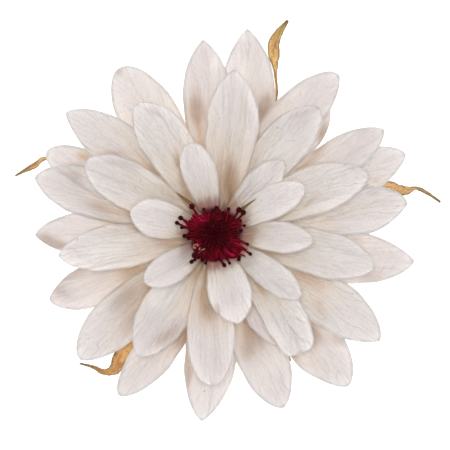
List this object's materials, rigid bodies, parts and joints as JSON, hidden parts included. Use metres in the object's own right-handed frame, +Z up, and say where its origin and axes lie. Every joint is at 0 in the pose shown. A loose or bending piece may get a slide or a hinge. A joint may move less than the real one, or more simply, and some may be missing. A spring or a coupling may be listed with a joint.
{
  "type": "dahlia flower",
  "caption": "Open, preserved off-white dahlia flower head with layered pointed petals, a burgundy stamen eye and dry ochre sepals.",
  "frame": {"origin": "middle of the flat cut base that the flower rests on, on the flower's axis", "axes": "+Z up along the flower's axis, out of its face; +X to the right and +Y to the top of the flower as seen from above"},
  "size_m": [0.1157, 0.1087, 0.0328],
  "materials": {
    "petals": "satin, dry and finely veined",
    "stamens": "matt, velvety",
    "calyx": "matt, dry and fibrous"
  },
  "bodies": {
    "root": {"petals": "petals", "stamens": "stamens", "calyx": "calyx"}
  },
  "joints": []
}
